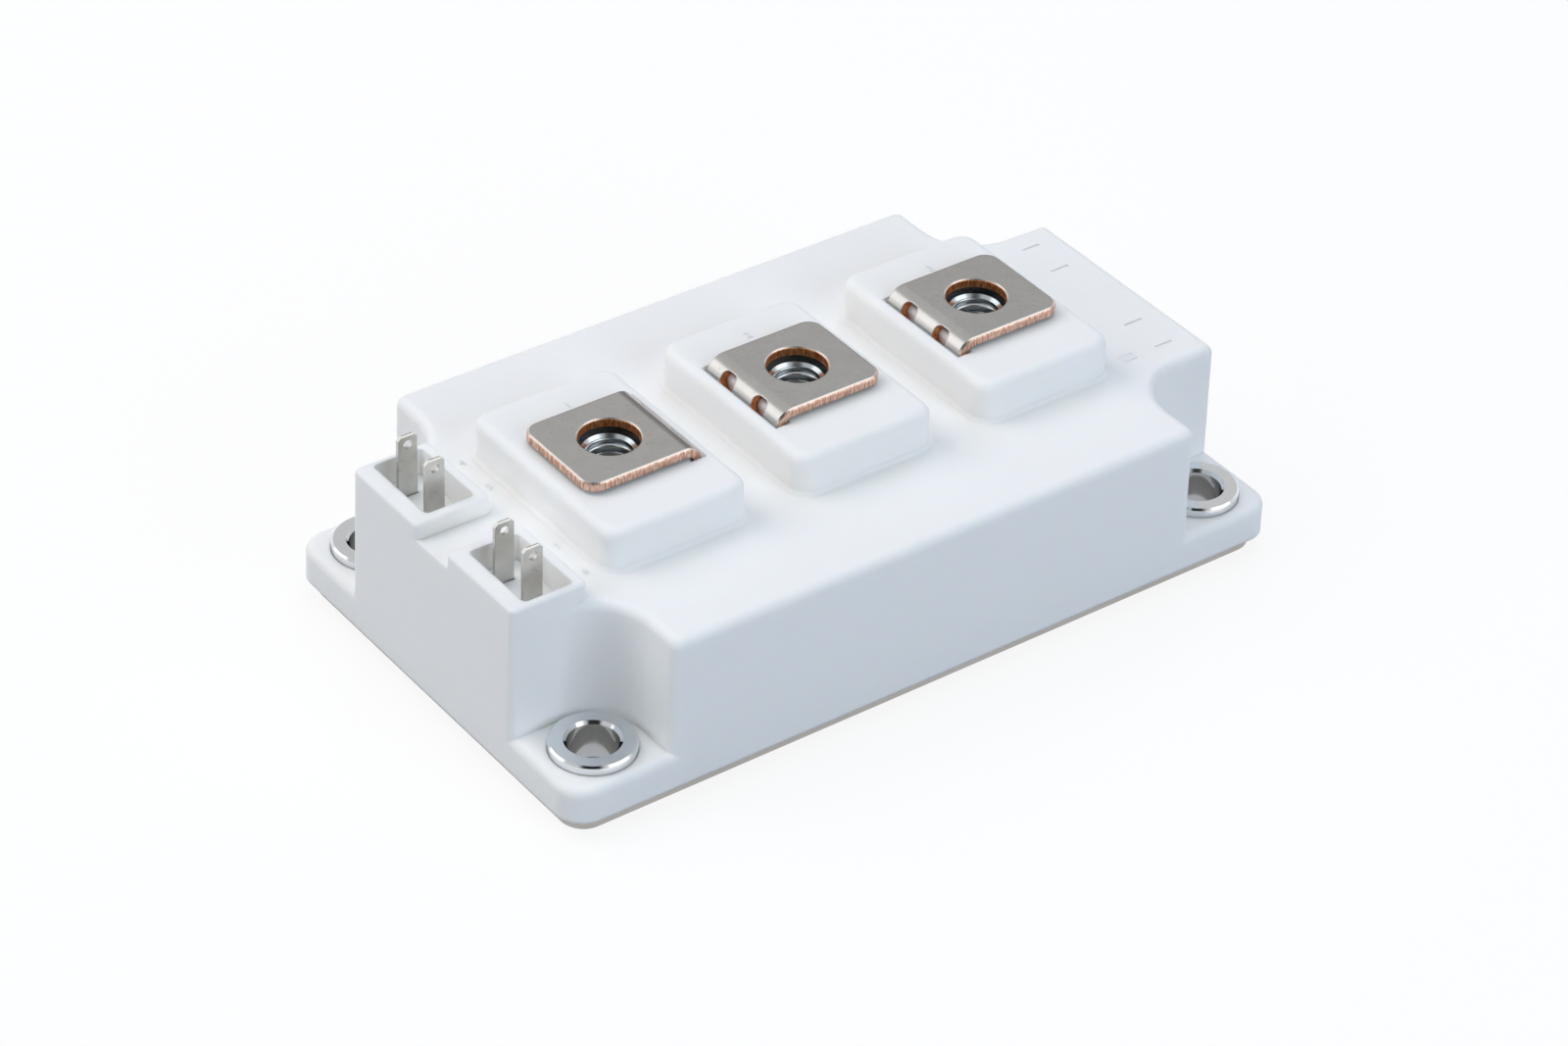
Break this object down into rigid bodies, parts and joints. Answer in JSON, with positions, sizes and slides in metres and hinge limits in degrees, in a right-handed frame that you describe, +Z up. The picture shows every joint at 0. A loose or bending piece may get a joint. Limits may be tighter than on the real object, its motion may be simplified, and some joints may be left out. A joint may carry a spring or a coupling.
{
  "type": "power semiconductor module",
  "caption": "Flat half-bridge transistor module: white moulded housing on a metal base plate, bent screw terminals along the top and shielded control tabs at one end.",
  "frame": {"origin": "centre of the base plate's underside", "axes": "+X along the length away from the control pins, +Y across the width to the rear, +Z up out of the base plate"},
  "size_m": [0.108, 0.062, 0.0307],
  "materials": {
    "nickel_plated_copper": "satin nickel plating",
    "moulded_plastic": "satin white moulding",
    "nickel_plated_strip": "satin nickel plating",
    "plated_steel": "bright zinc plating",
    "zinc_plated_nut": "bright zinc plating",
    "tinned_pin": "satin tin plating",
    "bonded_copper": "bare copper",
    "white_ceramic": "matt alumina",
    "silicon": "metallised silicon",
    "bond_wire": "bright aluminium wire",
    "clear_gel": "soft clear silicone gel"
  },
  "bodies": {
    "root": {"back_copper_high": "bonded_copper", "back_copper_low": "bonded_copper", "base_plate": "nickel_plated_copper", "bridge_wires": "bond_wire", "ceramic_high": "white_ceramic", "ceramic_low": "white_ceramic", "collector_track_high": "bonded_copper", "collector_track_low": "bonded_copper", "control_pin_emitter_high": "tinned_pin", "control_pin_emitter_low": "tinned_pin", "control_pin_gate_high": "tinned_pin", "control_pin_gate_low": "tinned_pin", "diode_chip_high_front": "silicon", "diode_chip_high_rear": "silicon", "diode_chip_low_front": "silicon", "diode_chip_low_rear": "silicon", "emitter_track_high": "bonded_copper", "emitter_track_low": "bonded_copper", "emitter_wires_high_front": "bond_wire", "emitter_wires_high_rear": "bond_wire", "emitter_wires_low_front": "bond_wire", "emitter_wires_low_rear": "bond_wire", "gate_track_high": "bonded_copper", "gate_track_low": "bonded_copper", "gate_wire_high_front": "bond_wire", "gate_wire_high_rear": "bond_wire", "gate_wire_low_front": "bond_wire", "gate_wire_low_rear": "bond_wire", "housing": "moulded_plastic", "igbt_chip_high_front": "silicon", "igbt_chip_high_rear": "silicon", "igbt_chip_low_front": "silicon", "igbt_chip_low_rear": "silicon", "mounting_sleeve_front_left": "plated_steel", "mounting_sleeve_front_right": "plated_steel", "mounting_sleeve_rear_left": "plated_steel", "mounting_sleeve_rear_right": "plated_steel", "sense_track_high": "bonded_copper", "sense_track_low": "bonded_copper", "sense_wire_high_front": "bond_wire", "sense_wire_high_rear": "bond_wire", "sense_wire_low_front": "bond_wire", "sense_wire_low_rear": "bond_wire", "silicone_gel": "clear_gel", "terminal_ac": "nickel_plated_strip", "terminal_dc_minus": "nickel_plated_strip", "terminal_dc_plus": "nickel_plated_strip", "terminal_nut_ac": "zinc_plated_nut", "terminal_nut_dc_minus": "zinc_plated_nut", "terminal_nut_dc_plus": "zinc_plated_nut"}
  },
  "joints": []
}
